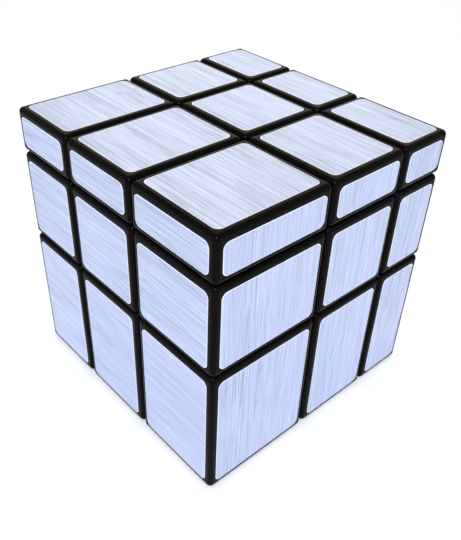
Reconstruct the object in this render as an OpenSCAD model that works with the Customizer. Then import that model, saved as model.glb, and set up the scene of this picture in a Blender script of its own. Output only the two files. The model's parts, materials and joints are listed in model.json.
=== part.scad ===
// Twisty puzzle cube whose layers are unequal in thickness.
// Units are millimetres, +Z is up, the cube stands on z = 0 and is centred on x = y = 0.
// Front is -Y, back is +Y, right is +X, left is -X.
// A six-armed core carries six centre blocks on sprung screws. Twelve edge blocks and eight
// corner blocks hang under them by feet that slide on ball surfaces struck from the core.
// Every sliding face is either a plane square to a turning axis or a ball about the core's
// middle, so any one layer can turn to any angle.

/* [Layers] */
// Thickness of the middle layer, the same along all three axes
middle_t = 19; // [16:0.5:23]
// Thickness of the top layer
top_t = 9; // [7.5:0.5:14]
// Thickness of the bottom layer
bottom_t = 29; // [16:0.5:35]
// Thickness of the front layer
front_t = 25; // [14:0.5:30]
// Thickness of the back layer
back_t = 13; // [9:0.5:18]
// Thickness of the right layer
right_t = 21; // [12:0.5:26]
// Thickness of the left layer
left_t = 17; // [10:0.5:22]

/* [Mouldings] */
// Wall thickness of the hollow blocks and caps
wall_t = 1.5; // [1.2:0.1:1.8]
// Rounding of the outside edges of every block
edge_r = 1.0; // [0.6:0.1:1.3]
// Gap left between two neighbouring blocks
block_gap = 0.3; // [0.25:0.05:0.4]
// Gap left between two sliding ball surfaces
ball_gap = 0.3; // [0.25:0.05:0.4]
// Gap all round where a foot is glued into its block, or a cap is pressed onto its base
glue_gap = 0.06; // [0.05:0.01:0.1]
// Least cover a centre cap keeps over the feet it holds down
lid_t = 1.2; // [1:0.1:1.4]

/* [Feet] */
// How far a foot reaches in under the neighbour that holds it
foot_reach = 2.9; // [2.4:0.1:3.2]
// Radial height of the neck part of a foot
neck_h = 3.0; // [2.6:0.1:3.4]
// Radial height of the foot itself
foot_h = 5.0; // [4.2:0.1:5.6]
// Least radial room for the neck of a corner foot where it leaves the ball
neck_grip = 1.6; // [1.4:0.1:2]
// How far the root of a corner foot stands in its block
corner_root_l = 5.4; // [4.6:0.1:6.2]
// How far the root of an edge foot stands in its block
edge_root_l = 7.4; // [6.4:0.1:8.4]
// How far the plug of a centre base stands up in its cap
plug_l = 2.5; // [2:0.1:3.5]

/* [Screws and springs] */
// Diameter of the screw shank
screw_d = 3.0; // [2.4:0.1:3.6]
// Distance from the middle of the core to the tip of a screw
screw_end = 3.1; // [2.8:0.1:3.6]
// Clearance all round the shank in its hole in the core
thread_gap = 0.06; // [0.05:0.01:0.1]
// Running clearance all round the shank in its centre base
shank_gap = 0.1; // [0.05:0.01:0.15]
// Diameter of the screw head
head_d = 5.2; // [4.6:0.1:5.8]
// Height of the screw head
head_h = 1.6; // [1.3:0.1:2]
// Room between the screw head and the cap nearest to the core
head_gap = 0.25; // [0.2:0.05:0.35]
// Width of the cross slots in the head
slot_w = 0.7; // [0.5:0.1:0.9]
// Depth of the cross slots in the head
slot_h = 0.9; // [0.6:0.1:1.1]
// Thickness of the washer under the head
washer_t = 0.5; // [0.4:0.05:0.6]
// Outside diameter of the coil spring
spring_d = 5.0; // [4.6:0.1:5.4]
// Thickness of the spring wire
spring_wire = 0.6; // [0.5:0.05:0.7]
// Number of coils in a spring
spring_turns = 4; // [3:1:6]
// Space left at each end of a spring, at its floor and at its washer
seat_gap = 0.12; // [0.1:0.01:0.15]
// Clear space all round the spring, washer and head in their pocket
pocket_gap = 0.5; // [0.35:0.05:0.6]
// Least wall left around that pocket
pocket_wall = 1.2; // [1:0.1:1.4]
// Thickness of the pocket's floor, which the spring presses on
floor_t = 1.8; // [1.5:0.1:2.2]

/* [Core] */
// Diameter of each of the six arms
arm_d = 8; // [7:0.2:9]
// Running gap between the end of an arm and the centre base turning on it
arm_gap = 0.2; // [0.15:0.05:0.3]
// How far the end of an arm stays below the ball inside the feet
arm_back = 2.5; // [2.2:0.1:3]
// How far the round middle of the core stays below that ball
core_back = 3.6; // [3.2:0.1:4.2]

/* [Hidden] */
h = block_gap / 2;
hs = ball_gap / 2;
c = middle_t / 2;                                    // cut planes, out from the core's middle
thin_t = min(top_t, bottom_t, front_t, back_t, right_t, left_t);
M = [(left_t - right_t) / 2, (front_t - back_t) / 2, bottom_t + c];   // middle of the core
OUT_N = [c + left_t, c + front_t, c + bottom_t];     // outer faces below M on each axis
OUT_P = [c + right_t, c + back_t, c + top_t];        // outer faces above M on each axis
near_d = c + thin_t;                                 // nearest outer face to the core
pocket_d = max(head_d, spring_d) + 2 * pocket_gap;   // bore for spring, washer and head
cb = c - wall_t;                                     // cut planes of the neck zone
cc = max(cb - foot_reach, pocket_d / 2 + pocket_wall + h);   // cut planes of the foot zone
ra = min(2 * c, sqrt(pow(near_d - lid_t, 2) + pow(cb, 2)));   // ball under the blocks
rb = max(ra - neck_h, cb * sqrt(3) + neck_grip);          // ball between neck and foot
rc = rb - foot_h;                                    // ball inside the feet
arm_l = rc - arm_back;                               // reach of a core arm
core_r = rc - core_back;                              // ball in the middle of the core
hub_z = arm_l + arm_gap;                             // underside of a centre base
floor_z = hub_z + floor_t;                           // floor of its spring pocket
head_top = near_d - wall_t - head_gap;
head_z = head_top - head_h;
washer_z = head_z - washer_t;
tuck = 0.4;                                          // how deep joined shapes run into each other
COIL_STEPS = 14;                                     // rings in one turn of a spring
COIL_SIDES = 6;                                      // sides of its wire
$fn = 96;

BLACK = [0.06, 0.055, 0.06];
DARK = [0.10, 0.10, 0.11];
GREY = [0.30, 0.30, 0.32];
STEEL = [0.66, 0.67, 0.70];

// ---- shared shapes, all struck from the middle of the core ----

// a plain box from its lowest to its highest corner
module span(a, b) { translate(a) cube([b[0] - a[0], b[1] - a[1], b[2] - a[2]]); }

// a flat outline with round corners
module round_rect(a, b, r) {
    w = b[0] - a[0];
    d = b[1] - a[1];
    translate([a[0] + r, a[1]]) square([w - 2 * r, d]);
    translate([a[0], a[1] + r]) square([w, d - 2 * r]);
    for (x = [a[0] + r, b[0] - r]) for (y = [a[1] + r, b[1] - r]) translate([x, y]) circle(r);
}

// a box with every edge rounded: three outlines crossed
module soft_box(a, b, r) {
    intersection() {
        translate([0, 0, a[2]]) linear_extrude(b[2] - a[2])
            round_rect([a[0], a[1]], [b[0], b[1]], r);
        translate([0, b[1], 0]) rotate([90, 0, 0]) linear_extrude(b[1] - a[1])
            round_rect([a[0], a[2]], [b[0], b[2]], r);
        translate([a[0], 0, 0]) rotate([90, 0, 90]) linear_extrude(b[0] - a[0])
            round_rect([a[1], a[2]], [b[1], b[2]], r);
    }
}

// lowest and highest reach of a block on one axis; s is -1, 0 or 1 for its layer
function lo(s, k, i) = s == 0 ? -(k - h) : (s > 0 ? k + h : -OUT_N[i]);
function hi(s, k, i) = s == 0 ? k - h : (s > 0 ? OUT_P[i] : -(k + h));
function low(s, k) = [for (i = [0:2]) lo(s[i], k, i)];
function high(s, k) = [for (i = [0:2]) hi(s[i], k, i)];
function grow(v, g) = [for (a = v) a + g];

// the same reach cut off at a distance m, used for the parts inside the balls
function lo_m(s, k, m) = s == 0 ? -(k - h) : (s > 0 ? k + h : -m);
function hi_m(s, k, m) = s == 0 ? k - h : (s > 0 ? m : -(k + h));
module zone(s, k, m) {
    span([for (a = s) lo_m(a, k, m)], [for (a = s) hi_m(a, k, m)]);
}

// a slimmer zone joining two of them: kin for the middle directions, kout for the outer ones
module neck(s, kin, kout, m) {
    span([for (a = s) a == 0 ? -kin : (a > 0 ? kout : -m)],
         [for (a = s) a == 0 ? kin : (a > 0 ? m : -kout)]);
}

module ball_shell(r0, r1) { difference() { sphere(r1); sphere(r0); } }

// hollow block of an edge or a corner
module block_shell(s) {
    k = abs(s[0]) + abs(s[1]) + abs(s[2]);
    difference() {
        soft_box(low(s, c), high(s, c), edge_r);
        span(grow(low(s, c), wall_t), grow(high(s, c), -wall_t));
        sphere(ra + hs);
        if (k == 3) neck(s, 0, 0, c + h + corner_root_l + glue_gap);
    }
}

// root of a foot: the part glued inside its block
module edge_root(s) {
    a = grow(low(s, c), wall_t + glue_gap);
    b = grow(high(s, c), -wall_t - glue_gap);
    m = c + h + edge_root_l;
    span([for (i = [0:2]) max(a[i], -m)], [for (i = [0:2]) min(b[i], m)]);
}
module corner_root(s) { neck(s, 0, c + h, c + h + corner_root_l); }

// inner moulding of an edge or a corner: foot, neck and root
module block_foot(s) {
    k = abs(s[0]) + abs(s[1]) + abs(s[2]);
    intersection() { zone(s, cc, rb + 1); ball_shell(rc + hs, rb - hs); }
    intersection() { zone(s, cb, ra + 1); ball_shell(rb + hs, ra - hs); }
    intersection() {
        neck(s, cc - h - tuck, cb + h + tuck / 2, ra + 1);
        ball_shell(rc + hs + 2 * tuck, ra - hs - tuck);
    }
    if (k == 3) corner_root(s);
    if (k == 2) edge_root(s);
}

// turns a shape built up the Z axis so that it points along axis s
module aim(s) {
    if (s[2] == 1) children();
    if (s[2] == -1) rotate([180, 0, 0]) children();
    if (s[1] == 1) rotate([-90, 0, 0]) children();
    if (s[1] == -1) rotate([90, 0, 0]) children();
    if (s[0] == 1) rotate([0, 90, 0]) children();
    if (s[0] == -1) rotate([0, -90, 0]) children();
}
function reach(s) = s[0] + s[1] + s[2] > 0 ? s * OUT_P : -(s * OUT_N);

// base of a centre block: hub on the core arm, spring pocket, plug for the cap
module centre_base(s) {
    top = min(reach(s) - wall_t - glue_gap, ra + plug_l);
    w = cb - h - glue_gap;
    n = cc - h;
    aim(s) difference() {
        union() {
            difference() {
                span([-w, -w, rc], [w, w, top]);
                sphere(rb + hs);
            }
            span([-n, -n, hub_z], [n, n, top - tuck]);
        }
        translate([0, 0, floor_z]) cylinder(d = pocket_d, h = ra + plug_l);
        cylinder(d = screw_d + 2 * shank_gap, h = floor_z + 1);
    }
}

// cap of a centre block: the square face and its skirt
module centre_cap(s) {
    w = c - h;
    u = cb - h;
    d = reach(s);
    aim(s) difference() {
        soft_box([-w, -w, rc], [w, w, d], edge_r);
        span([-u, -u, 0], [u, u, d - wall_t]);
        difference() {
            sphere(ra + hs);
            span([-u, -u, 0], [u, u, ra + 5]);
        }
    }
}

// one coil spring standing on z = 0
module coil(len, turns) {
    n = COIL_STEPS * turns;
    q = COIL_SIDES;
    r = spring_d / 2 - spring_wire / 2;
    w = spring_wire / 2;
    pts = [for (i = [0:n]) for (j = [0:q - 1])
        let (t = i / n, a = 360 * turns * t, b = 360 * j / q)
        [(r + w * cos(b)) * cos(a), (r + w * cos(b)) * sin(a), w + (len - 2 * w) * t + w * sin(b)]];
    side = [for (i = [0:n - 1]) for (j = [0:q - 1]) for (e = [0:1])
        let (k = (j + 1) % q, p = i * q, o = (i + 1) * q)
        e == 0 ? [p + j, o + j, o + k] : [p + j, o + k, p + k]];
    cap0 = [[for (j = [0:q - 1]) j]];
    cap1 = [[for (j = [q - 1:-1:0]) n * q + j]];
    polyhedron(points = pts, faces = concat(side, cap0, cap1), convexity = 8);
}

AXES = [[0, 0, 1], [0, 0, -1], [0, 1, 0], [0, -1, 0], [1, 0, 0], [-1, 0, 0]];

// ---- nodes ----

module core_spider() {
    color(GREY) translate(M) difference() {
        union() {
            sphere(core_r);
            for (s = AXES) aim(s) cylinder(d = arm_d, h = arm_l);
        }
        for (s = AXES) aim(s) translate([0, 0, screw_end - tuck])
            cylinder(d = screw_d + 2 * thread_gap, h = rc);
    }
}

module centre_screws() {
    color(STEEL) translate(M) for (s = AXES) aim(s) difference() {
        union() {
            translate([0, 0, screw_end]) cylinder(d = screw_d, h = head_z - screw_end + tuck);
            translate([0, 0, head_z]) cylinder(d = head_d, h = head_h);
        }
        for (a = [0, 90]) rotate([0, 0, a]) translate([-head_d / 3, -slot_w / 2, head_top - slot_h])
            cube([head_d / 1.5, slot_w, head_h]);
    }
}

module spring_washers() {
    color(STEEL) translate(M) for (s = AXES) aim(s) translate([0, 0, washer_z]) difference() {
        cylinder(d = head_d + pocket_gap, h = washer_t);
        translate([0, 0, -1]) cylinder(d = screw_d + 2 * shank_gap, h = washer_t + 2);
    }
}

module tension_springs() {
    color(STEEL) translate(M) for (s = AXES) aim(s) translate([0, 0, floor_z + seat_gap])
        coil(washer_z - floor_z - 2 * seat_gap, spring_turns);
}

module centre_up_base() { color(DARK) translate(M) centre_base([0, 0, 1]); }
module centre_up_cap() { color(BLACK) translate(M) centre_cap([0, 0, 1]); }
module centre_down_base() { color(DARK) translate(M) centre_base([0, 0, -1]); }
module centre_down_cap() { color(BLACK) translate(M) centre_cap([0, 0, -1]); }
module centre_front_base() { color(DARK) translate(M) centre_base([0, -1, 0]); }
module centre_front_cap() { color(BLACK) translate(M) centre_cap([0, -1, 0]); }
module centre_back_base() { color(DARK) translate(M) centre_base([0, 1, 0]); }
module centre_back_cap() { color(BLACK) translate(M) centre_cap([0, 1, 0]); }
module centre_right_base() { color(DARK) translate(M) centre_base([1, 0, 0]); }
module centre_right_cap() { color(BLACK) translate(M) centre_cap([1, 0, 0]); }
module centre_left_base() { color(DARK) translate(M) centre_base([-1, 0, 0]); }
module centre_left_cap() { color(BLACK) translate(M) centre_cap([-1, 0, 0]); }
module edge_up_front_shell() { color(BLACK) translate(M) block_shell([0, -1, 1]); }
module edge_up_front_foot() { color(DARK) translate(M) block_foot([0, -1, 1]); }
module edge_up_back_shell() { color(BLACK) translate(M) block_shell([0, 1, 1]); }
module edge_up_back_foot() { color(DARK) translate(M) block_foot([0, 1, 1]); }
module edge_up_right_shell() { color(BLACK) translate(M) block_shell([1, 0, 1]); }
module edge_up_right_foot() { color(DARK) translate(M) block_foot([1, 0, 1]); }
module edge_up_left_shell() { color(BLACK) translate(M) block_shell([-1, 0, 1]); }
module edge_up_left_foot() { color(DARK) translate(M) block_foot([-1, 0, 1]); }
module edge_down_front_shell() { color(BLACK) translate(M) block_shell([0, -1, -1]); }
module edge_down_front_foot() { color(DARK) translate(M) block_foot([0, -1, -1]); }
module edge_down_back_shell() { color(BLACK) translate(M) block_shell([0, 1, -1]); }
module edge_down_back_foot() { color(DARK) translate(M) block_foot([0, 1, -1]); }
module edge_down_right_shell() { color(BLACK) translate(M) block_shell([1, 0, -1]); }
module edge_down_right_foot() { color(DARK) translate(M) block_foot([1, 0, -1]); }
module edge_down_left_shell() { color(BLACK) translate(M) block_shell([-1, 0, -1]); }
module edge_down_left_foot() { color(DARK) translate(M) block_foot([-1, 0, -1]); }
module edge_front_right_shell() { color(BLACK) translate(M) block_shell([1, -1, 0]); }
module edge_front_right_foot() { color(DARK) translate(M) block_foot([1, -1, 0]); }
module edge_front_left_shell() { color(BLACK) translate(M) block_shell([-1, -1, 0]); }
module edge_front_left_foot() { color(DARK) translate(M) block_foot([-1, -1, 0]); }
module edge_back_right_shell() { color(BLACK) translate(M) block_shell([1, 1, 0]); }
module edge_back_right_foot() { color(DARK) translate(M) block_foot([1, 1, 0]); }
module edge_back_left_shell() { color(BLACK) translate(M) block_shell([-1, 1, 0]); }
module edge_back_left_foot() { color(DARK) translate(M) block_foot([-1, 1, 0]); }
module corner_up_front_right_shell() { color(BLACK) translate(M) block_shell([1, -1, 1]); }
module corner_up_front_right_foot() { color(DARK) translate(M) block_foot([1, -1, 1]); }
module corner_up_front_left_shell() { color(BLACK) translate(M) block_shell([-1, -1, 1]); }
module corner_up_front_left_foot() { color(DARK) translate(M) block_foot([-1, -1, 1]); }
module corner_up_back_right_shell() { color(BLACK) translate(M) block_shell([1, 1, 1]); }
module corner_up_back_right_foot() { color(DARK) translate(M) block_foot([1, 1, 1]); }
module corner_up_back_left_shell() { color(BLACK) translate(M) block_shell([-1, 1, 1]); }
module corner_up_back_left_foot() { color(DARK) translate(M) block_foot([-1, 1, 1]); }
module corner_down_front_right_shell() { color(BLACK) translate(M) block_shell([1, -1, -1]); }
module corner_down_front_right_foot() { color(DARK) translate(M) block_foot([1, -1, -1]); }
module corner_down_front_left_shell() { color(BLACK) translate(M) block_shell([-1, -1, -1]); }
module corner_down_front_left_foot() { color(DARK) translate(M) block_foot([-1, -1, -1]); }
module corner_down_back_right_shell() { color(BLACK) translate(M) block_shell([1, 1, -1]); }
module corner_down_back_right_foot() { color(DARK) translate(M) block_foot([1, 1, -1]); }
module corner_down_back_left_shell() { color(BLACK) translate(M) block_shell([-1, 1, -1]); }
module corner_down_back_left_foot() { color(DARK) translate(M) block_foot([-1, 1, -1]); }

core_spider();
centre_screws();
spring_washers();
tension_springs();
centre_up_base();
centre_up_cap();
centre_down_base();
centre_down_cap();
centre_front_base();
centre_front_cap();
centre_back_base();
centre_back_cap();
centre_right_base();
centre_right_cap();
centre_left_base();
centre_left_cap();
edge_up_front_shell();
edge_up_front_foot();
edge_up_back_shell();
edge_up_back_foot();
edge_up_right_shell();
edge_up_right_foot();
edge_up_left_shell();
edge_up_left_foot();
edge_down_front_shell();
edge_down_front_foot();
edge_down_back_shell();
edge_down_back_foot();
edge_down_right_shell();
edge_down_right_foot();
edge_down_left_shell();
edge_down_left_foot();
edge_front_right_shell();
edge_front_right_foot();
edge_front_left_shell();
edge_front_left_foot();
edge_back_right_shell();
edge_back_right_foot();
edge_back_left_shell();
edge_back_left_foot();
corner_up_front_right_shell();
corner_up_front_right_foot();
corner_up_front_left_shell();
corner_up_front_left_foot();
corner_up_back_right_shell();
corner_up_back_right_foot();
corner_up_back_left_shell();
corner_up_back_left_foot();
corner_down_front_right_shell();
corner_down_front_right_foot();
corner_down_front_left_shell();
corner_down_front_left_foot();
corner_down_back_right_shell();
corner_down_back_right_foot();
corner_down_back_left_shell();
corner_down_back_left_foot();
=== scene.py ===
# %% [markdown]
# # A twisty cube with unequal layers
# The cube has the same three-by-three-by-three works as any twisting puzzle cube, but its
# layers differ in thickness, so all 26 blocks are black and faced with brushed silver foil.
# Twisting it changes its outline and not its colours. The CAD model already holds every
# block, joint and size. Here each block gets its rounded mouldings and its foil, the works
# inside get their real springs and screws, and everything gets a surface.

# %% Load the frame
import json
import math

import bmesh
import bpy
from mathutils import Matrix, Vector

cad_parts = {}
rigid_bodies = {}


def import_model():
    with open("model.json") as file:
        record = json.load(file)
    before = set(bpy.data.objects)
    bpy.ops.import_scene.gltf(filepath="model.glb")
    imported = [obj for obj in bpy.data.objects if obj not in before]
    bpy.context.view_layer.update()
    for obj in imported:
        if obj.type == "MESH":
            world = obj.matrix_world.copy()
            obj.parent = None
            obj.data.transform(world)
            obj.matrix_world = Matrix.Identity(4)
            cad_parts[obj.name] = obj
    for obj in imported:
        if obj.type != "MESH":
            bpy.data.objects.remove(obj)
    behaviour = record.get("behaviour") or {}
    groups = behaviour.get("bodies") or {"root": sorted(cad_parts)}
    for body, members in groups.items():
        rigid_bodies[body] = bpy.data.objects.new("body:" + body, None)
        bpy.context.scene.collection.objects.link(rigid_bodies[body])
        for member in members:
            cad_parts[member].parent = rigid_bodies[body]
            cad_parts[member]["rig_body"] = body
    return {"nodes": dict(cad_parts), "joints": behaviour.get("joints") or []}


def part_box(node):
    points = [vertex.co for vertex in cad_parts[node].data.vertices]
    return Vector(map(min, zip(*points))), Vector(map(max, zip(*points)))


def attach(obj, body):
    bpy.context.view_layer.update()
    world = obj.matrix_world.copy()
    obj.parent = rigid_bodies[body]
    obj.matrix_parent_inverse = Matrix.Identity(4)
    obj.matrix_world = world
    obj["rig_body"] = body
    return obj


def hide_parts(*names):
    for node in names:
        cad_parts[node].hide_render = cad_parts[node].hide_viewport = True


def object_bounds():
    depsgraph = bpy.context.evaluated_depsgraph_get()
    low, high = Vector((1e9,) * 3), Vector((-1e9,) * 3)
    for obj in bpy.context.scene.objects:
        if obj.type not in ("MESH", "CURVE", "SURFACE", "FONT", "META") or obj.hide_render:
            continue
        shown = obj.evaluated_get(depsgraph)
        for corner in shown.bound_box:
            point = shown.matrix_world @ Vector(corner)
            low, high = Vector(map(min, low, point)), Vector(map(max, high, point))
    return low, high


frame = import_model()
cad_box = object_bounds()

MM = 0.001
nodes = frame["nodes"]
middle = Vector(frame["joints"][0]["pos_m"])
print("CAD box in mm:", [[round(v / MM, 2) for v in corner] for corner in cad_box])
print("middle of the core in mm:", [round(v / MM, 2) for v in middle])

# %% [markdown]
# ## Camera and room
# The cube is seen from above its nearest vertical edge, between the front layer on the left
# and the right layer on the right. The camera stands about 14 cm away, so the upright edges
# lean in towards the bottom. It looks at a point a little below the middle of the cube and is
# rolled by two and a half degrees, as a camera held by hand often is.

# %% Camera
camera_place = Vector((85.3, -79.3, 108.6)) * MM
camera_aim = Vector((3.0, -1.4, 24.1)) * MM
camera_roll = math.radians(2.47)

camera = bpy.data.objects.new("camera", bpy.data.cameras.new("camera"))
bpy.context.scene.collection.objects.link(camera)
camera.data.sensor_width = 36.0
camera.data.sensor_fit = "HORIZONTAL"
camera.data.lens = 52.2
camera.data.clip_start = 0.01
look = (camera_aim - camera_place).to_track_quat("-Z", "Y").to_matrix().to_4x4()
camera.matrix_world = (
    Matrix.Translation(camera_place) @ look @ Matrix.Rotation(camera_roll, 4, "Z")
)
bpy.context.scene.camera = camera
print("camera to aim point, mm:", round((camera_aim - camera_place).length / MM, 1))

# %% [markdown]
# Brushed metal has almost no colour of its own and shows what stands around it, so the room
# matters as much as the foil. A white table and a pale room fill the sides of the cube. One
# soft box hangs high on the viewer's side, and a back window is what the top foil shows,
# because from here the top mirrors what is behind the cube. Two small cool boxes stand low at
# the sides. The room could be lit by a picture of a studio instead, but a shade from pale at
# the horizon to grey overhead does the same with two colours and a strength.

# %% Floor, room and soft boxes
table_white = (0.90, 0.92, 0.97, 1.0)
horizon_pale = (0.90, 0.93, 0.97, 1.0)
ceiling_grey = (0.72, 0.70, 0.68, 1.0)
grey_from = 0.75
room_strength = 0.76


def principled(name):
    """A new material; gives the material, its nodes, its links and its shader."""
    material = bpy.data.materials.new(name)
    material.use_nodes = True
    tree = material.node_tree
    return material, tree.nodes, tree.links, tree.nodes["Principled BSDF"]


foil_t = 0.12 * MM
under_foil = 0.02 * MM
floor_z = cad_box[0].z - foil_t - under_foil
half_floor = 3.0
quarters = ((-1, -1), (1, -1), (1, 1), (-1, 1))
floor_mesh = bpy.data.meshes.new("table_top")
floor_mesh.from_pydata(
    [(x * half_floor, y * half_floor, floor_z) for x, y in quarters], [], [(0, 1, 2, 3)]
)
floor = bpy.data.objects.new("table_top", floor_mesh)
bpy.context.scene.collection.objects.link(floor)
floor_material, _, _, floor_shader = principled("white_table")
floor_shader.inputs["Base Color"].default_value = table_white
floor_shader.inputs["Roughness"].default_value = 0.8
floor_mesh.materials.append(floor_material)

room = bpy.data.worlds.new("room")
room.use_nodes = True
sky = room.node_tree
toward = sky.nodes.new("ShaderNodeTexCoord")
split = sky.nodes.new("ShaderNodeSeparateXYZ")
climb = sky.nodes.new("ShaderNodeMapRange")
climb.interpolation_type = "SMOOTHSTEP"
climb.inputs["From Min"].default_value = 0.0
climb.inputs["From Max"].default_value = grey_from
shade = sky.nodes.new("ShaderNodeMix")
shade.data_type = "RGBA"
shade.inputs["A"].default_value = horizon_pale
shade.inputs["B"].default_value = ceiling_grey
sky.links.new(toward.outputs["Generated"], split.inputs[0])
sky.links.new(split.outputs["Z"], climb.inputs["Value"])
sky.links.new(climb.outputs["Result"], shade.inputs["Factor"])
sky.links.new(shade.outputs["Result"], sky.nodes["Background"].inputs["Color"])
sky.nodes["Background"].inputs["Strength"].default_value = room_strength
bpy.context.scene.world = room
bpy.context.scene.view_settings.view_transform = "Standard"


def soft_box(name, place, size, watts, colour):
    """A square area light that faces the middle of the cube."""
    light = bpy.data.lights.new(name, "AREA")
    light.size = size
    light.energy = watts
    light.color = colour
    lamp = bpy.data.objects.new(name, light)
    bpy.context.scene.collection.objects.link(lamp)
    place = Vector(place)
    turn = (middle - place).to_track_quat("-Z", "Y").to_matrix().to_4x4()
    lamp.matrix_world = Matrix.Translation(place) @ turn
    return lamp


near_white, warm, cool = (0.98, 0.98, 1.0), (1.0, 0.95, 0.83), (0.62, 0.82, 1.0)
soft_box("overhead", (0.46, -0.46, 1.00), size=0.4, watts=10.3, colour=near_white)
soft_box("back_window", (-0.48, 0.46, 0.40), size=0.6, watts=1.05, colour=warm)
soft_box("left_side", (-0.30, -0.50, 0.07), size=0.30, watts=0.5, colour=cool)
soft_box("right_side", (0.58, 0.22, 0.07), size=0.30, watts=0.6, colour=cool)
print("floor at mm:", round(floor_z / MM, 2))

# %% [markdown]
# ## Surfaces
# A few small helpers keep the shader trees short. Every pattern is worked out in object
# coordinates turned into millimetres. All pieces are made where they belong in the cube, so
# one pattern runs on from a block to its neighbours, the way one sheet of brushed foil does
# after it has been die-cut into stickers.

# %% Helpers for the shader trees
ADD, MULTIPLY, SUBTRACT = "ADD", "MULTIPLY", "SUBTRACT"


def put(links, socket, value):
    """Link a socket to a value that is a socket, or store a plain value in it."""
    if isinstance(value, bpy.types.NodeSocket):
        links.new(value, socket)
    else:
        socket.default_value = value


def in_millimetres(nodes_, links, stretch=(1.0, 1.0, 1.0)):
    """Object coordinates in millimetres, drawn out along an axis by a small stretch value."""
    where = nodes_.new("ShaderNodeTexCoord")
    scaled = nodes_.new("ShaderNodeMapping")
    scaled.inputs["Scale"].default_value = [s / MM for s in stretch]
    links.new(where.outputs["Object"], scaled.inputs["Vector"])
    return scaled.outputs["Vector"]


def cloud(nodes_, links, where, per_mm, detail=2.0, rough=0.5, shift=0.0):
    """Noise with about per_mm features in a millimetre; runs from 0 to 1 about a half."""
    moved = nodes_.new("ShaderNodeVectorMath")
    moved.operation = ADD
    links.new(where, moved.inputs[0])
    moved.inputs[1].default_value = (shift, shift, shift)
    noise = nodes_.new("ShaderNodeTexNoise")
    noise.inputs["Scale"].default_value = per_mm
    noise.inputs["Detail"].default_value = detail
    noise.inputs["Roughness"].default_value = rough
    links.new(moved.outputs[0], noise.inputs["Vector"])
    return noise.outputs["Fac"]


def calc(nodes_, links, op, a, b):
    """The result of one Math node."""
    node = nodes_.new("ShaderNodeMath")
    node.operation = op
    put(links, node.inputs[0], a)
    put(links, node.inputs[1], b)
    return node.outputs[0]


def ramp(nodes_, links, fac, low, high, from_value, to_value):
    """Maps fac from low..high to from_value..to_value, and holds it at the ends."""
    node = nodes_.new("ShaderNodeMapRange")
    node.clamp = True
    for name, value in (
        ("Value", fac),
        ("From Min", low),
        ("From Max", high),
        ("To Min", from_value),
        ("To Max", to_value),
    ):
        put(links, node.inputs[name], value)
    return node.outputs["Result"]


def tint(nodes_, links, fac, first, second):
    """Mixes two colours."""
    node = nodes_.new("ShaderNodeMix")
    node.data_type = "RGBA"
    put(links, node.inputs["Factor"], fac)
    node.inputs["A"].default_value = (*first, 1.0)
    node.inputs["B"].default_value = (*second, 1.0)
    return node.outputs["Result"]


def bump(nodes_, links, shader, height, strength, depth):
    """Feeds a height to the shader's normal; depth is in metres."""
    node = nodes_.new("ShaderNodeBump")
    node.inputs["Strength"].default_value = strength
    node.inputs["Distance"].default_value = depth
    links.new(height, node.inputs["Height"])
    links.new(node.outputs["Normal"], shader.inputs["Normal"])


# %% [markdown]
# ### Brushed foil
# The foil is aluminium film brushed in one direction before it was coated. Three sizes of
# streak lie over each other: broad soft bands several millimetres wide, the lines two or
# three to a millimetre that the eye picks out, and hair-fine scratches. A wave texture would
# repeat too evenly, so each is noise drawn out fifty times along the brushing. A few lines
# were brushed deeper, in clumps, and these are cut from the noise by keeping only a narrow
# slice of its values. The streaks set the colour, the roughness and a very small bump.


# %% Foil material
def foil_material(name, stretch):
    """Brushed bluish-silver foil; the small stretch value marks the brushing direction."""
    material, n, links, shader = principled(name)
    across = in_millimetres(n, links, stretch)
    bands = cloud(n, links, across, per_mm=0.22, detail=1.0, rough=0.5, shift=3.0)
    lines = cloud(n, links, across, per_mm=2.4, detail=2.0, rough=0.6, shift=11.0)
    hairs = cloud(n, links, across, per_mm=5.0, detail=1.0, rough=0.6, shift=29.0)
    deep = cloud(n, links, across, per_mm=1.6, detail=1.0, rough=0.5, shift=47.0)
    clump = cloud(n, links, across, per_mm=0.12, detail=0.0, rough=0.5, shift=61.0)
    off = calc(n, links, "ABSOLUTE", calc(n, links, SUBTRACT, deep, 0.5), 0.0)
    slice_width = ramp(n, links, clump, 0.4, 0.6, 0.008, 0.035)
    cut = ramp(n, links, off, 0.0, slice_width, 1.0, 0.0)

    streak = calc(n, links, MULTIPLY, lines, line_share)
    streak = calc(n, links, ADD, streak, calc(n, links, MULTIPLY, hairs, hair_share))
    streak = calc(n, links, ADD, streak, calc(n, links, MULTIPLY, bands, band_share))
    streak = calc(n, links, SUBTRACT, streak, calc(n, links, MULTIPLY, cut, cut_depth))
    tone = ramp(n, links, streak, *streak_range, 0.0, 1.0)
    colour = tint(n, links, tone, foil_dark, foil_light)
    # Faces marked as the rim are mixed to a paler foil colour: a painted highlight along the
    # sticker's edge.
    rim = n.new("ShaderNodeAttribute")
    rim.attribute_name = "rim"
    painted_highlight_mix = n.new("ShaderNodeMix")
    painted_highlight_mix.data_type = "RGBA"
    links.new(rim.outputs["Fac"], painted_highlight_mix.inputs["Factor"])
    links.new(colour, painted_highlight_mix.inputs["A"])
    painted_highlight_mix.inputs["B"].default_value = (*foil_painted_highlight, 1.0)
    links.new(painted_highlight_mix.outputs["Result"], shader.inputs["Base Color"])
    links.new(ramp(n, links, streak, *streak_range, *foil_gloss), shader.inputs["Roughness"])
    shader.inputs["Metallic"].default_value = 0.85
    bump(n, links, shader, streak, strength=0.25, depth=0.02 * MM)
    return material


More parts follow.
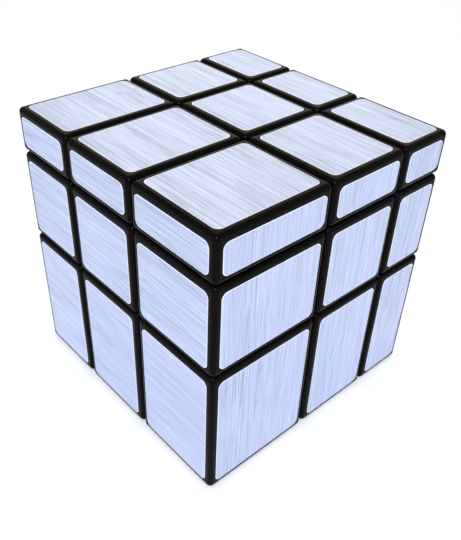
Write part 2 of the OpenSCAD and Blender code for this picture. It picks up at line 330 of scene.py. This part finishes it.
foil_dark = (0.42, 0.465, 0.60)
foil_light = (0.625, 0.70, 0.92)
# The paler foil colour of the sticker's rim faces is a painted highlight.
foil_painted_highlight = (0.86, 0.90, 1.0)
foil_gloss = (0.50, 0.40)
line_share, hair_share, band_share, cut_depth = 0.38, 0.50, 0.12, 0.25
streak_range = (0.32, 0.64)
drawn_out = 1 / 50
foil_along_x = foil_material("foil_brushed_along_x", (drawn_out, 1.0, 1.0))
foil_along_z = foil_material("foil_brushed_along_z", (1.0, 1.0, drawn_out))
print("foil:", foil_along_x.name, foil_along_z.name)

# %% [markdown]
# ### Moulded black plastic
# The blocks are glossy black ABS. A good mould leaves a surface that is smooth but never
# quite flat, so there is a faint swell in the gloss. Handling dulls it in patches and leaves
# short fine scuffs. The black is warm rather than blue. In so pale a room an ordinary shine
# would turn the black grey, so the shader's specular level is set low for the blocks. The
# feet and the core are less glossy and keep more of it.


# %% Black, inner and core plastic
def plastic_material(name, dark, light, gloss, grain, swell, scuffs, shine):
    """Moulded plastic; gloss is (smooth, dull) roughness, grain is features per mm."""
    material, n, links, shader = principled(name)
    where = in_millimetres(n, links)
    patches = cloud(n, links, where, per_mm=0.12, detail=3.0, rough=0.55, shift=5.0)
    fine = cloud(n, links, where, per_mm=grain, detail=3.0, rough=0.6, shift=17.0)
    rubbing = in_millimetres(n, links, (1.0, 0.12, 0.5))
    scratches = cloud(n, links, rubbing, per_mm=1.6, detail=4.0, rough=0.7, shift=23.0)
    tone = ramp(n, links, fine, 0.3, 0.7, 0.0, 1.0)
    links.new(tint(n, links, tone, dark, light), shader.inputs["Base Color"])
    dull = ramp(n, links, patches, 0.38, 0.66, gloss[0], gloss[1])
    rubbed = ramp(n, links, scratches, 0.60, 0.72, 0.0, scuffs)
    links.new(calc(n, links, ADD, dull, rubbed), shader.inputs["Roughness"])
    height = calc(n, links, ADD, calc(n, links, MULTIPLY, fine, 0.3), patches)
    shader.inputs["Specular IOR Level"].default_value = shine
    shader.inputs["Specular Tint"].default_value = (1.0, 0.88, 0.82, 1.0)
    bump(n, links, shader, height, strength=swell, depth=0.05 * MM)
    return material


black_plastic = plastic_material(
    "black_abs",
    dark=(0.0018, 0.0013, 0.0014),
    light=(0.0032, 0.0024, 0.0025),
    gloss=(0.11, 0.18),
    grain=3.0,
    swell=0.10,
    scuffs=0.08,
    shine=0.045,
)
inner_plastic = plastic_material(
    "inner_abs",
    dark=(0.020, 0.019, 0.019),
    light=(0.030, 0.029, 0.029),
    gloss=(0.34, 0.50),
    grain=5.0,
    swell=0.25,
    scuffs=0.12,
    shine=0.4,
)
core_plastic = plastic_material(
    "core_nylon",
    dark=(0.16, 0.16, 0.175),
    light=(0.22, 0.22, 0.235),
    gloss=(0.42, 0.58),
    grain=6.0,
    swell=0.30,
    scuffs=0.08,
    shine=0.4,
)
print("plastics:", black_plastic.name, inner_plastic.name, core_plastic.name)

# %% [markdown]
# ### Zinc-plated steel
# Screws, washers and springs are bright zinc plate over steel. Plating is a little cloudy and
# grey, with a grain far finer than any of these parts.

# %% Steel
zinc, zn, zl, zinc_shader = principled("zinc_plate")
zinc_where = in_millimetres(zn, zl)
zinc_cloud = cloud(zn, zl, zinc_where, per_mm=0.9, detail=3.0, rough=0.6, shift=7.0)
zinc_grain = cloud(zn, zl, zinc_where, per_mm=9.0, detail=3.0, rough=0.6, shift=13.0)
zinc_dark, zinc_light = (0.52, 0.53, 0.55), (0.68, 0.69, 0.71)
zinc_tone = ramp(zn, zl, zinc_cloud, 0.35, 0.65, 0.0, 1.0)
zl.new(tint(zn, zl, zinc_tone, zinc_dark, zinc_light), zinc_shader.inputs["Base Color"])
zl.new(ramp(zn, zl, zinc_grain, 0.3, 0.7, 0.24, 0.38), zinc_shader.inputs["Roughness"])
zinc_shader.inputs["Metallic"].default_value = 1.0
bump(zn, zl, zinc_shader, zinc_grain, strength=0.2, depth=0.01 * MM)
print("steel:", zinc.name)

# %% [markdown]
# ## Geometry Nodes in script
# A Geometry Nodes tree is a recipe with named inputs. One recipe makes all the corner blocks,
# another all the stickers. The helper class below keeps the recipes readable: `input` adds a
# named input, `node` adds a node and fills its sockets, and `finish` closes the tree. `run`
# gives a recipe its values once and keeps the result as a plain mesh, because only a plain
# mesh can be exported with the piece.


# %% Helpers for the Geometry Nodes trees
class Recipe:
    """A Geometry Nodes tree with short ways to add inputs and nodes."""

    def __init__(self, name):
        self.tree = bpy.data.node_groups.new(name, "GeometryNodeTree")
        self.tree.interface.new_socket(
            name="Geometry", in_out="INPUT", socket_type="NodeSocketGeometry"
        )
        self.tree.interface.new_socket(
            name="Geometry", in_out="OUTPUT", socket_type="NodeSocketGeometry"
        )
        self.start = self.tree.nodes.new("NodeGroupInput")
        self.names = {}

    def input(self, name, kind="Float"):
        """A named input of the recipe; gives the socket that carries its value."""
        socket = self.tree.interface.new_socket(
            name=name, in_out="INPUT", socket_type="NodeSocket" + kind
        )
        self.names[name] = socket.identifier
        return self.start.outputs[socket.identifier]

    def node(self, kind, out=0, **settings):
        """Properties are given by name and sockets as s_Name or s0, s1 for their number."""
        node = self.tree.nodes.new(kind)
        sockets = {k: v for k, v in settings.items() if k.startswith("s")}
        for key, value in settings.items():
            if key not in sockets:
                setattr(node, key, value)
        for key, value in sockets.items():
            if key[1:].isdigit():
                socket = node.inputs[int(key[1:])]
            else:
                socket = node.inputs[key[2:].replace("_", " ")]
            for item in value if isinstance(value, list) else [value]:
                put(self.tree.links, socket, item)
        return node.outputs[out]

    def maths(self, op, a, b=0.0, c=0.0):
        """One Math node on numbers."""
        return self.node("ShaderNodeMath", operation=op, s0=a, s1=b, s2=c)

    def vector(self, op, a, b=(0.0, 0.0, 0.0), c=(0.0, 0.0, 0.0)):
        """One Vector Math node."""
        return self.node("ShaderNodeVectorMath", operation=op, s0=a, s1=b, s2=c)

    def scaled(self, a, factor):
        """A vector made longer or shorter."""
        node = self.tree.nodes.new("ShaderNodeVectorMath")
        node.operation = "SCALE"
        put(self.tree.links, node.inputs[0], a)
        put(self.tree.links, node.inputs["Scale"], factor)
        return node.outputs[0]

    def combine(self, x, y, z):
        """A vector from three numbers."""
        return self.node("ShaderNodeCombineXYZ", s0=x, s1=y, s2=z)

    def parts(self, vector):
        """The three numbers of a vector."""
        node = self.tree.nodes.new("ShaderNodeSeparateXYZ")
        put(self.tree.links, node.inputs[0], vector)
        return node.outputs[0], node.outputs[1], node.outputs[2]

    def place(self):
        """Where each point is."""
        return self.node("GeometryNodeInputPosition")

    def moved(self, geometry, to):
        """The geometry with its points at new places."""
        return self.node("GeometryNodeSetPosition", s_Geometry=geometry, s_Position=to)

    def joined(self, *geometries):
        """Several geometries as one."""
        return self.node("GeometryNodeJoinGeometry", s_Geometry=list(geometries))

    def cut(self, body, *tools):
        """The body with the tools taken away."""
        node = self.tree.nodes.new("GeometryNodeMeshBoolean")
        node.operation = "DIFFERENCE"
        node.solver = "MANIFOLD"
        put(self.tree.links, node.inputs["Mesh 1"], body)
        for tool in tools:
            put(self.tree.links, node.inputs["Mesh 2"], tool)
        return node.outputs["Mesh"]

    def finish(self, geometry, material):
        """Makes instances real, gives the material and closes the tree."""
        real = self.node("GeometryNodeRealizeInstances", s_Geometry=geometry)
        real = self.node("GeometryNodeSetMaterial", s_Geometry=real, s_Material=material)
        end = self.tree.nodes.new("NodeGroupOutput")
        self.tree.links.new(real, end.inputs[0])
        print("recipe", self.tree.name, "with", len(self.tree.nodes), "nodes")
        return self


def run(recipe, name, base=None, **values):
    """Runs a recipe with the given inputs and gives its result as a plain mesh."""
    base = base or bpy.data.meshes.new(name + "_base")
    holder = bpy.data.objects.new(name + "_holder", base)
    bpy.context.scene.collection.objects.link(holder)
    modifier = holder.modifiers.new("recipe", "NODES")
    modifier.node_group = recipe.tree
    for key, value in values.items():
        modifier[recipe.names[key]] = list(value) if isinstance(value, Vector) else value
    ready = holder.evaluated_get(bpy.context.evaluated_depsgraph_get())
    mesh = bpy.data.meshes.new_from_object(ready)
    mesh.name = name
    bpy.data.objects.remove(holder)
    return mesh


def smooth(mesh, angle=math.radians(35.0)):
    """Smooth shading, with an edge kept sharp wherever it turns by more than angle."""
    work = bmesh.new()
    work.from_mesh(mesh)
    for face in work.faces:
        face.smooth = True
    for edge in work.edges:
        edge.smooth = edge.calc_face_angle(math.pi) < angle
    work.to_mesh(mesh)
    work.free()


def piece(name, mesh, body, stands_for=()):
    """Puts a finished mesh in the scene as a piece that rides on a body."""
    ob = bpy.data.objects.new(name, mesh)
    bpy.context.scene.collection.objects.link(ob)
    weights = ob.modifiers.new("even_flats", "WEIGHTED_NORMAL")
    weights.keep_sharp = True
    weights.weight = 90
    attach(ob, body)
    if stands_for:
        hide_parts(*stands_for)
    return ob


# %% [markdown]
# ## The blocks
# Each block is a hollow moulding with its outside edges rounded. Where three roundings meet
# the corner is an eighth of a ball, and that is what gives the small bright dots on the
# cube's corners. A grid cube can be turned into this shape by a rule: the inner grid lines
# are pushed out to where the flats end, and the rest is laid on arcs. The wanted angle steps
# are equal, so the grid value is turned by a tangent before the direction is made one long.


# %% Recipe parts shared by the blocks
arc_steps = 5
grid = 2 * (arc_steps + 1)


def rounded_box(r, low, high, radius):
    """A closed box from low to high with round edges and ball corners."""
    cube = r.node(
        "GeometryNodeMeshCube",
        s_Size=(2.0, 2.0, 2.0),
        s_Vertices_X=grid,
        s_Vertices_Y=grid,
        s_Vertices_Z=grid,
    )
    at = r.place()
    side = r.vector("SIGN", at)
    share = r.vector("MULTIPLY", r.vector("ABSOLUTE", at), (grid - 1.0,) * 3)
    share = r.scaled(r.vector("SUBTRACT", share, (1.0, 1.0, 1.0)), 1.0 / (grid - 2.0))
    arc = r.vector("TANGENT", r.scaled(share, math.pi / 4))
    out = r.vector("NORMALIZE", r.vector("MULTIPLY", side, arc))
    centre = r.scaled(r.vector("ADD", low, high), 0.5)
    half = r.scaled(r.vector("SUBTRACT", high, low), 0.5)
    flat = r.vector("SUBTRACT", half, r.combine(radius, radius, radius))
    place = r.vector("MULTIPLY_ADD", side, flat, centre)
    return r.moved(cube, r.vector("ADD", place, r.scaled(out, radius)))


def plain_box(r, low, high):
    """A box from low to high, used only as a cutting tool."""
    cube = r.node("GeometryNodeMeshCube", s_Size=(1.0, 1.0, 1.0))
    size = r.vector("SUBTRACT", high, low)
    centre = r.scaled(r.vector("ADD", low, high), 0.5)
    return r.moved(cube, r.vector("MULTIPLY_ADD", r.place(), size, centre))


def ball(r, centre, radius):
    """The ball that the sliding faces are struck from, used as a cutting tool."""
    round_ = r.node("GeometryNodeMeshUVSphere", s_Segments=96, s_Rings=48, s_Radius=radius)
    return r.node("GeometryNodeTransform", s_Geometry=round_, s_Translation=centre)


# %% [markdown]
# The cuts are the same as in the real mouldings. An edge or a corner is emptied to an even
# wall and hollowed by the ball that its neighbours slide on. A corner also has a square
# pocket for the root of its foot. A centre cap is open underneath, and the ball only trims
# its skirt: the part of the ball under the cap's roof is spared.


# %% The three block recipes
def block_recipe(name, pocket=False, skirt=False):
    """Recipe for one kind of block."""
    r = Recipe(name)
    low, high = r.input("Low", "Vector"), r.input("High", "Vector")
    hollow_low, hollow_high = r.input("Hollow Low", "Vector"), r.input("Hollow High", "Vector")
    rounding, core = r.input("Rounding"), r.input("Middle", "Vector")
    ball_radius = r.input("Ball Radius")
    tool = ball(r, core, ball_radius)
    if skirt:
        spared = plain_box(r, r.input("Spared Low", "Vector"), r.input("Spared High", "Vector"))
        tool = r.cut(tool, spared)
    body = r.cut(rounded_box(r, low, high, rounding), plain_box(r, hollow_low, hollow_high))
    body = r.cut(body, tool)
    if pocket:
        tool = plain_box(r, r.input("Pocket Low", "Vector"), r.input("Pocket High", "Vector"))
        body = r.cut(body, tool)
    return r.finish(body, black_plastic)


edge_recipe = block_recipe("edge block")
corner_recipe = block_recipe("corner block", pocket=True)
cap_recipe = block_recipe("centre cap", skirt=True)

# %% [markdown]
# The outside of a block is its CAD box, so nothing is measured twice. Only the wall, the
# rounding, the ball and the root pocket are stated here. Beside what all blocks share, an
# edge block needs only its box and its hollow.

# %% Sizes that every block shares
wall = 1.5 * MM
rounding = 1.0 * MM
ball_radius = 19.15 * MM
root_pocket = 15.11 * MM
skirt_reach = 11.0 * MM
hair = 0.02 * MM


def every_way(distance):
    """The same distance along X, Y and Z."""
    return Vector((distance,) * 3)


def edge_values(low, high):
    """Inputs of an edge block that fills the box from low to high."""
    return {
        "Low": low,
        "High": high,
        "Hollow Low": low + every_way(wall),
        "Hollow High": high - every_way(wall),
    }


# %% [markdown]
# A corner adds the square pocket, which runs from the core's middle out towards the block. A
# cap reaches down to its skirt, its hollow runs on to the core's middle, and the spared box
# fills the hollow a hair short of its sides, so that no two faces of the cut coincide.


# %% What corners and caps add
def corner_values(low, high):
    """Inputs of a corner block."""
    values = edge_values(low, high)
    far = Vector(
        [m + math.copysign(root_pocket, a + b - 2 * m) for a, b, m in zip(low, high, middle)]
    )
    values["Pocket Low"] = Vector(map(min, middle, far))
    values["Pocket High"] = Vector(map(max, middle, far))
    return values


def cap_values(low, high):
    """Inputs of a centre cap."""
    values = edge_values(low, high)
    hollow_low, hollow_high = values["Hollow Low"], values["Hollow High"]
    spared_low, spared_high = hollow_low + every_way(hair), hollow_high - every_way(hair)
    axis = max(range(3), key=lambda i: abs((low[i] + high[i]) / 2 - middle[i]))
    start, past_ball = middle[axis], 2 * ball_radius
    if low[axis] > start:
        low[axis] = start + skirt_reach
        hollow_low[axis] = start
        spared_low[axis], spared_high[axis] = start - hair, start + past_ball
    else:
        high[axis] = start - skirt_reach
        hollow_high[axis] = start
        spared_low[axis], spared_high[axis] = start - past_ball, start + hair
    values.update({"Spared Low": spared_low, "Spared High": spared_high})
    return values


# %% Make the 26 blocks
kinds = {
    "edge": (edge_recipe, edge_values),
    "corner": (corner_recipe, corner_values),
    "centre": (cap_recipe, cap_values),
}
blocks = {}
for name in sorted(nodes):
    if not name.endswith(("_shell", "_cap")):
        continue
    recipe, values_of = kinds[name.split("_")[0]]
    values = values_of(*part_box(name))
    values.update({"Rounding": rounding, "Middle": middle, "Ball Radius": ball_radius})
    mesh = run(recipe, name + "_moulding", **values)
    smooth(mesh)
    blocks[name] = piece(mesh.name, mesh, nodes[name]["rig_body"], [name])
print("blocks:", len(blocks), "faces:", sum(len(o.data.polygons) for o in blocks.values()))

# %% [markdown]
# ## The foil stickers
# Every outer face of every block carries a die-cut foil sticker that stops short of the
# rounded edge, so a black band shows all round. The recipe draws a rectangle, rounds its
# corners, fills it and gives it thickness in two steps. The second step is drawn in a
# little, which leaves the thin bevel that catches the light along the sticker's rim. All
# faces but the top are marked as the rim, and the foil paints them paler: a painted highlight.

# %% Sticker recipe
sticker = Recipe("foil sticker")
width, height = sticker.input("Width"), sticker.input("Height")
corner, thick = sticker.input("Corner"), sticker.input("Thickness")
bevel, rim = sticker.input("Bevel"), sticker.input("Rim")
foil = sticker.input("Foil", "Material")

outline = sticker.node("GeometryNodeCurvePrimitiveQuadrilateral", s0=width, s1=height)
outline = sticker.node(
    "GeometryNodeFilletCurve", mode="POLY", s_Curve=outline, s_Radius=corner, s_Count=7
)
sheet = sticker.node("GeometryNodeFillCurve", mode="NGONS", s_Curve=outline)
back = sticker.node("GeometryNodeFlipFaces", s_Mesh=sheet)


def raised(mesh, by, only=True):
    """The sticker's faces pushed up by a distance; gives the mesh and its new top faces."""
    push = sticker.tree.nodes.new("GeometryNodeExtrudeMesh")
    push.inputs["Individual"].default_value = False
    push.inputs["Offset"].default_value = (0.0, 0.0, 1.0)
    put(sticker.tree.links, push.inputs["Mesh"], mesh)
    put(sticker.tree.links, push.inputs["Selection"], only)
    put(sticker.tree.links, push.inputs["Offset Scale"], by)
    return push.outputs["Mesh"], push.outputs["Top"]


def drawn_in(length):
    """How much of a length is left when the rim is taken off both of its ends."""
    left = sticker.maths("SUBTRACT", length, sticker.maths("MULTIPLY", rim, 2.0))
    return sticker.maths("DIVIDE", left, length)


walls, wall_top = raised(sheet, sticker.maths("SUBTRACT", thick, bevel))
solid, face_top = raised(walls, bevel, only=wall_top)
shrink = sticker.combine(drawn_in(width), drawn_in(height), 1.0)
drawn = sticker.node(
    "GeometryNodeSetPosition",
    s_Geometry=solid,
    s_Selection=face_top,
    s_Position=sticker.vector("MULTIPLY", sticker.place(), shrink),
)
marked = sticker.node(
    "GeometryNodeStoreNamedAttribute",
    data_type="FLOAT",
    domain="FACE",
    s_Geometry=drawn,
    s_Name="rim",
    s_Value=sticker.maths("SUBTRACT", 1.0, face_top),
)
same_point = 0.001 * MM
both = sticker.joined(marked, back)
closed = sticker.node("GeometryNodeMergeByDistance", s_Geometry=both, s_Distance=same_point)
sticker.finish(closed, foil)

# %% [markdown]
# A sticker is laid out flat and then turned onto its face. The turn is given by two edges of
# the face: the direction that becomes the sticker's width and the outward one. Foil on the
# top, bottom, front and back is brushed from left to right, and foil on the two sides is
# brushed up and down.

# %% Lay the stickers
band = 1.38 * MM
sticker_corner = 1.2 * MM
sticker_bevel = 0.05 * MM
sticker_rim = 0.11 * MM
sunk = 0.02 * MM
faces = {
    "up": ((1, 0, 0), (0, 0, 1)),
    "down": ((1, 0, 0), (0, 0, -1)),
    "front": ((1, 0, 0), (0, -1, 0)),
    "back": ((-1, 0, 0), (0, 1, 0)),
    "right": ((0, 1, 0), (1, 0, 0)),
    "left": ((0, -1, 0), (-1, 0, 0)),
}


def lay_sticker(name, face, low, high):
    """A sticker on one face of the block that fills the box from low to high."""
    along, outward = map(Vector, faces[face])
    beside = outward.cross(along)
    size = high - low
    mesh = run(
        sticker,
        f"{name.rsplit('_', 1)[0]}_foil_{face}",
        Width=abs(size.dot(along)) - 2 * band,
        Height=abs(size.dot(beside)) - 2 * band,
        Corner=sticker_corner,
        Thickness=foil_t + sunk,
        Bevel=sticker_bevel,
        Rim=sticker_rim,
        Foil=foil_along_z if face in ("right", "left") else foil_along_x,
    )
    turn = Matrix((along, beside, outward)).transposed().to_4x4()
    face_middle = (low + high) / 2 + outward * abs(size.dot(outward)) / 2
    mesh.transform(Matrix.Translation(face_middle - outward * sunk) @ turn)
    smooth(mesh)
    return piece(mesh.name, mesh, nodes[name]["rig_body"])


stickers = []
for name in sorted(blocks):
    low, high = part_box(name)
    for face, (_, outward) in faces.items():
        axis = next(i for i in range(3) if outward[i])
        end = 1 if outward[axis] > 0 else 0
        if abs((low, high)[end][axis] - cad_box[end][axis]) < hair:
            stickers.append(lay_sticker(name, face, low, high))
print("stickers:", len(stickers))

# %% [markdown]
# ## The works inside
# Feet, centre bases and the core keep their CAD shapes exactly, because these are the faces
# that slide on each other. A CAD mesh comes as loose triangles, so each one is copied, its
# doubled corners are merged, and it is shaded smooth between its real edges. The copy stands
# for the node, and the node itself is left as it is.

# %% Smooth copies of the sliding parts
doubled = 0.002 * MM


def smooth_copy(name, material):
    """A merged and smooth-shaded copy of a CAD node, standing for it."""
    mesh = nodes[name].data.copy()
    mesh.name = name + "_finished"
    work = bmesh.new()
    work.from_mesh(mesh)
    bmesh.ops.remove_doubles(work, verts=work.verts, dist=doubled)
    bmesh.ops.recalc_face_normals(work, faces=work.faces)
    work.to_mesh(mesh)
    work.free()
    mesh.materials.clear()
    mesh.materials.append(material)
    smooth(mesh, math.radians(25.0))
    return piece(mesh.name, mesh, nodes[name]["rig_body"], [name])


copies = [smooth_copy("core_spider", core_plastic)]
for name in sorted(nodes):
    if name.endswith(("_foot", "_base")):
        copies.append(smooth_copy(name, inner_plastic))
print("smooth copies:", len(copies))

# %% [markdown]
# ## Springs, washers and screws
# Six identical sets stand on the six arms of the core. Each recipe makes one part that
# stands up the Z axis and then sets it out on six points, turned to face outwards. The six
# points are the base mesh: one vertex one unit out along each arm.

# %% Six directions and the setting-out step
arms = [(0, 0, 1), (0, 0, -1), (0, 1, 0), (0, -1, 0), (1, 0, 0), (-1, 0, 0)]


def six_points(name):
    """A mesh of one vertex for each arm."""
    mesh = bpy.data.meshes.new(name)
    mesh.from_pydata(arms, [], [])
    return mesh


def on_six_arms(r, part, core):
    """Copies of the part from the core's middle out along each arm."""
    points = r.node("GeometryNodeMeshToPoints", s_Mesh=r.start.outputs[0])
    facing = r.node("FunctionNodeAlignRotationToVector", axis="Z", s_Vector=r.place())
    six = r.node(
        "GeometryNodeInstanceOnPoints", s_Points=points, s_Instance=part, s_Rotation=facing
    )
    to_core = r.vector("SUBTRACT", core, r.place())
    return r.node(
        "GeometryNodeTranslateInstances", s_Instances=six, s_Translation=to_core, s_Local_Space=False
    )


# %% [markdown]
# A compression spring has its two end coils closed so that it stands square. The recipe
# starts from a plain spiral and moves its points up or down only. An end coil climbs one wire
# thickness in a turn, so that it lies against the next coil, and the coils between them share
# the rest of the height.

# %% Spring recipe
spring = Recipe("closed-end spring")
core = spring.input("Middle", "Vector")
foot_z, top_z = spring.input("Foot"), spring.input("Top")
coil_r, wire_r = spring.input("Coil Radius"), spring.input("Wire Radius")
turns, closed_turns = 5.0, 0.8
closed_share = closed_turns / turns
path = spring.node(
    "GeometryNodeCurveSpiral",
    s_Resolution=40,
    s_Rotations=turns,
    s_Start_Radius=coil_r,
    s_End_Radius=coil_r,
    s_Height=0.0,
)
share = spring.node("GeometryNodeSplineParameter")
rise = spring.node(
    "ShaderNodeMapRange",
    interpolation_type="LINEAR",
    s_Value=share,
    s_From_Min=closed_share,
    s_From_Max=1.0 - closed_share,
)
low_z = spring.maths("ADD", foot_z, wire_r)
high_z = spring.maths("SUBTRACT", top_z, wire_r)
closed_rise = spring.maths("MULTIPLY", wire_r, 2.0 * closed_turns)
both_ends = spring.maths("MULTIPLY", closed_rise, 2.0)
span = spring.maths("SUBTRACT", spring.maths("SUBTRACT", high_z, low_z), both_ends)
wound = spring.maths("MULTIPLY", share, 1.0 / closed_share)
first = spring.maths("MINIMUM", wound, 1.0)
last = spring.maths("MAXIMUM", spring.maths("SUBTRACT", wound, 1.0 / closed_share - 1.0), 0.0)
coil_z = spring.maths(
    "ADD",
    spring.maths("MULTIPLY_ADD", rise, span, low_z),
    spring.maths("MULTIPLY", spring.maths("ADD", first, last), closed_rise),
)
coil_x, coil_y, _ = spring.parts(spring.place())
path = spring.moved(path, spring.combine(coil_x, coil_y, coil_z))
ring = spring.node("GeometryNodeCurvePrimitiveCircle", s_Resolution=12, s_Radius=wire_r)
wire = spring.node(
    "GeometryNodeCurveToMesh", s_Curve=path, s_Profile_Curve=ring, s_Fill_Caps=True
)
spring.finish(on_six_arms(spring, wire, core), zinc)

spring_mesh = run(
    spring,
    "tension_springs_wound",
    base=six_points("spring_points"),
    Middle=middle,
    Foot=10.62 * MM,
    Top=14.53 * MM,
    **{"Coil Radius": 2.2 * MM, "Wire Radius": 0.3 * MM},
)
smooth(spring_mesh, math.radians(50.0))
piece("tension_springs_wound", spring_mesh, "core", ["tension_springs"])
print("springs:", len(arms), "of them with", len(spring_mesh.polygons), "faces in all")

# %% [markdown]
# A washer is a flat ring with its rim broken by a small radius. Its section is a rounded
# rectangle carried round a circle.

# %% Washer recipe
washer = Recipe("plain washer")
core = washer.input("Middle", "Vector")
inner_r, outer_r = washer.input("Inner Radius"), washer.input("Outer Radius")
washer_z, washer_t = washer.input("Underside"), washer.input("Thickness")
mid_r = washer.maths("MULTIPLY", washer.maths("ADD", inner_r, outer_r), 0.5)
circle = washer.node("GeometryNodeCurvePrimitiveCircle", s_Resolution=64, s_Radius=mid_r)
section = washer.node(
    "GeometryNodeCurvePrimitiveQuadrilateral",
    s0=washer.maths("SUBTRACT", outer_r, inner_r),
    s1=washer_t,
)
section = washer.node(
    "GeometryNodeFilletCurve", mode="POLY", s_Curve=section, s_Radius=0.1 * MM, s_Count=3
)
flat_ring = washer.node("GeometryNodeCurveToMesh", s_Curve=circle, s_Profile_Curve=section)
mid_z = washer.maths("MULTIPLY_ADD", washer_t, 0.5, washer_z)
lift = washer.combine(0.0, 0.0, mid_z)
flat_ring = washer.node("GeometryNodeTransform", s_Geometry=flat_ring, s_Translation=lift)
washer.finish(on_six_arms(washer, flat_ring, core), zinc)

washer_mesh = run(
    washer,
    "spring_washers_pressed",
    base=six_points("washer_points"),
    Middle=middle,
    Underside=14.65 * MM,
    Thickness=0.5 * MM,
    **{"Inner Radius": 1.6 * MM, "Outer Radius": 2.85 * MM},
)
smooth(washer_mesh, math.radians(50.0))
piece("spring_washers_pressed", washer_mesh, "core", ["spring_washers"])
print("washers:", len(arms), "of them with", len(washer_mesh.polygons), "faces in all")

# %% [markdown]
# The screws are pan heads with a cross recess. The head is a drum whose upper rim is drawn in
# along a quarter of an ellipse, and two tapered bars cut the recess. The thread is a ridge
# wound on the shank: a three-sided wire on a spiral, sunk a little into the shank so that
# nothing gapes.

# %% Screw recipe
screw = Recipe("cross-head screw")
core = screw.input("Middle", "Vector")
tip_z, seat_z, crown_z = screw.input("Tip"), screw.input("Seat"), screw.input("Crown")
shank_r, head_r = screw.input("Shank Radius"), screw.input("Head Radius")
thread_end = screw.input("Thread End")


def lifted(part, z):
    """A screw part moved up the Z axis."""
    up = screw.combine(0.0, 0.0, z)
    return screw.node("GeometryNodeTransform", s_Geometry=part, s_Translation=up)


thread_depth, pitch = 0.22 * MM, 0.9 * MM
overrun = 0.1 * MM
shank_h = screw.maths("ADD", screw.maths("SUBTRACT", seat_z, tip_z), 2.0 * overrun)
shank_mid = screw.maths("MULTIPLY", screw.maths("ADD", tip_z, seat_z), 0.5)
root_r = screw.maths("SUBTRACT", shank_r, thread_depth)
shank = screw.node(
    "GeometryNodeMeshCylinder", s_Vertices=48, s_Radius=root_r, s_Depth=shank_h
)
shank = lifted(shank, shank_mid)
ridge_h = screw.maths("SUBTRACT", screw.maths("SUBTRACT", thread_end, tip_z), 2.0 * thread_depth)
ridge_path = screw.node(
    "GeometryNodeCurveSpiral",
    s_Resolution=40,
    s_Rotations=screw.maths("DIVIDE", ridge_h, pitch),
    s_Start_Radius=root_r,
    s_End_Radius=root_r,
    s_Height=ridge_h,
)
ridge_path = lifted(ridge_path, screw.maths("ADD", tip_z, thread_depth))
ridge_section = screw.node(
    "GeometryNodeCurvePrimitiveCircle", s_Resolution=3, s_Radius=thread_depth
)
ridge = screw.node(
    "GeometryNodeCurveToMesh", s_Curve=ridge_path, s_Profile_Curve=ridge_section, s_Fill_Caps=True
)

# %% [markdown]
# From the middle of the drum upwards `over` grows from nothing to 0.85, and the radius is
# multiplied by the other side of a right triangle with a long side of one. That is the
# ellipse. The two bars of the recess are tapered by a factor that grows with height.

# %% Screw head
crown_bulge = 1.7
head_h = screw.maths("SUBTRACT", crown_z, seat_z)
head = screw.node(
    "GeometryNodeMeshCylinder", s_Vertices=64, s_Side_Segments=10, s_Radius=head_r, s_Depth=head_h
)
dx, dy, dz = screw.parts(screw.place())
upness = screw.maths("DIVIDE", dz, head_h)
over = screw.maths("MAXIMUM", screw.maths("MULTIPLY", upness, crown_bulge), 0.0)
draw = screw.maths("SQRT", screw.maths("SUBTRACT", 1.0, screw.maths("MULTIPLY", over, over)))
head_x, head_y = screw.maths("MULTIPLY", dx, draw), screw.maths("MULTIPLY", dy, draw)
head_z = screw.maths("MULTIPLY_ADD", screw.maths("ADD", upness, 0.5), head_h, seat_z)
head = screw.moved(head, screw.combine(head_x, head_y, head_z))

bar_size = (2.8 * MM, 0.7 * MM, 2.0 * MM)
bar_taper = 0.12
bar_proud = 0.1 * MM
for quarter in (0.0, math.pi / 2):
    bar = screw.node("GeometryNodeMeshCube", s_Size=bar_size)
    bx, by, bz = screw.parts(screw.place())
    taper = screw.maths("MULTIPLY_ADD", bz, bar_taper / MM, 1.0 - bar_taper)
    bar_x, bar_y = screw.maths("MULTIPLY", bx, taper), screw.maths("MULTIPLY", by, taper)
    bar = screw.moved(bar, screw.combine(bar_x, bar_y, bz))
    bar = screw.node("GeometryNodeTransform", s_Geometry=bar, s_Rotation=(0.0, 0.0, quarter))
    head = screw.cut(head, lifted(bar, screw.maths("ADD", crown_z, bar_proud)))
screw.finish(on_six_arms(screw, screw.joined(shank, ridge, head), core), zinc)

screw_mesh = run(
    screw,
    "centre_screws_cut",
    base=six_points("screw_points"),
    Middle=middle,
    Tip=3.1 * MM,
    Seat=15.15 * MM,
    Crown=16.75 * MM,
    **{"Shank Radius": 1.5 * MM, "Head Radius": 2.6 * MM, "Thread End": 8.3 * MM},
)
smooth(screw_mesh, math.radians(40.0))
piece("centre_screws_cut", screw_mesh, "core", ["centre_screws"])
print("screws:", len(arms), "of them with", len(screw_mesh.polygons), "faces in all")
